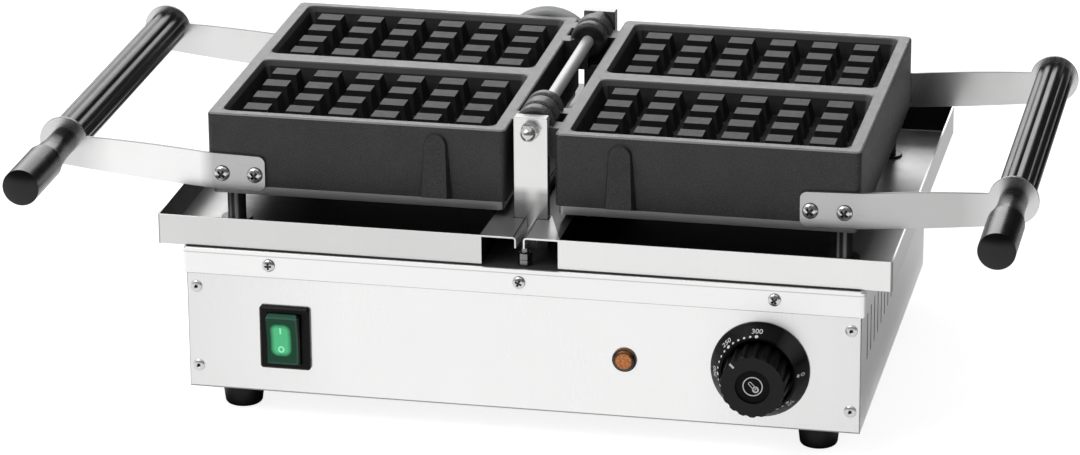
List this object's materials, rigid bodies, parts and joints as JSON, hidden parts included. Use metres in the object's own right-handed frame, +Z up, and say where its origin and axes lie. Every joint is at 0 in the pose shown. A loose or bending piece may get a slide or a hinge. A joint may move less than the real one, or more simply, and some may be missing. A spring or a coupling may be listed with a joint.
{
  "type": "waffle iron",
  "caption": "Countertop waffle iron with hinged cast mould plates that open flat over drip pans on a steel base with a switch, a lamp and a thermostat.",
  "frame": {"origin": "under the middle of the whole object's box, on the worktop", "axes": "+X to the right as seen from the front, +Y to the rear along the hinge shaft, +Z up; both plates lie open"},
  "size_m": [0.625, 0.377, 0.1984],
  "materials": {
    "sheet_steel": "satin stainless sheet",
    "panel_steel": "fine satin stainless sheet",
    "cast_iron": "seasoned grey cast iron",
    "strap_steel": "polished stainless",
    "bright_steel": "bright zinc plated",
    "post_steel": "turned and polished",
    "black_phenolic": "glossy moulded phenolic",
    "black_plastic": "matte moulded",
    "rocker_green": "glossy translucent green",
    "lens_amber": "translucent amber",
    "rubber": "moulded rubber",
    "insulation": "mineral fibre mat",
    "heater_steel": "oxidised steel sheath",
    "conduit_grey": "light grey metal conduit",
    "elbow_alloy": "cast alloy",
    "terminal_ceramic": "glazed ceramic"
  },
  "bodies": {
    "base": {"casing_shell": "sheet_steel", "rear_panel": "sheet_steel", "deck": "sheet_steel", "pan_left": "sheet_steel", "pan_right": "sheet_steel", "front_panel": "panel_steel", "panel_rivets": "bright_steel", "deck_screws": "bright_steel", "foot_screws": "bright_steel", "deck_bolts": "bright_steel", "bracket_front": "bright_steel", "bracket_rear": "bright_steel", "hinge_shaft": "bright_steel", "hinge_nuts": "bright_steel", "earth_stud": "bright_steel", "earth_nuts": "bright_steel", "post_washers": "bright_steel", "support_posts": "post_steel", "foot_front_left": "rubber", "foot_front_right": "rubber", "foot_rear_left": "rubber", "foot_rear_right": "rubber", "switch_body": "black_plastic", "lamp_body": "black_plastic", "lamp_lens": "lens_amber", "scale_disc": "black_phenolic", "thermostat_body": "bright_steel", "thermostat_screws": "bright_steel", "terminal_block": "terminal_ceramic", "cable_gland": "black_plastic", "gland_nut": "black_plastic", "conduit_glands": "elbow_alloy", "conduit_left": "conduit_grey", "conduit_right": "conduit_grey"},
    "plate_left": {"mould_left": "cast_iron", "bottom_cover_left": "sheet_steel", "cover_screws_left": "bright_steel", "insulation_left": "insulation", "heater_left": "heater_steel", "strap_front_left": "strap_steel", "strap_rear_left": "strap_steel", "strap_screws_left": "bright_steel", "handle_bolt_left": "bright_steel", "grip_left": "black_phenolic", "handle_left": "black_phenolic", "conduit_elbow_left": "elbow_alloy"},
    "plate_right": {"mould_right": "cast_iron", "bottom_cover_right": "sheet_steel", "cover_screws_right": "bright_steel", "insulation_right": "insulation", "heater_right": "heater_steel", "strap_front_right": "strap_steel", "strap_rear_right": "strap_steel", "strap_screws_right": "bright_steel", "handle_bolt_right": "bright_steel", "grip_right": "black_phenolic", "handle_right": "black_phenolic", "conduit_elbow_right": "elbow_alloy"},
    "rocker": {"switch_rocker": "rocker_green"},
    "knob": {"thermostat_knob": "black_phenolic"}
  },
  "joints": [
    {"name": "plate_left_hinge", "type": "hinge", "parent": "base", "child": "plate_left", "pos_m": [0, 0.02, 0.1865], "axis": [0, 1, 0], "range_deg": [0, 180], "deforming": ["conduit_left"]},
    {"name": "plate_right_hinge", "type": "hinge", "parent": "base", "child": "plate_right", "pos_m": [0, 0.02, 0.1865], "axis": [0, -1, 0], "range_deg": [0, 180], "deforming": ["conduit_right"]},
    {"name": "rocker_pivot", "type": "hinge", "parent": "base", "child": "rocker", "pos_m": [-0.1484, -0.1285, 0.0547], "axis": [1, 0, 0], "range_deg": [-11, 0]},
    {"name": "knob_turn", "type": "hinge", "parent": "base", "child": "knob", "pos_m": [0.1494, -0.1295, 0.0552], "axis": [0, 1, 0], "range_deg": [-228, 42]}
  ]
}
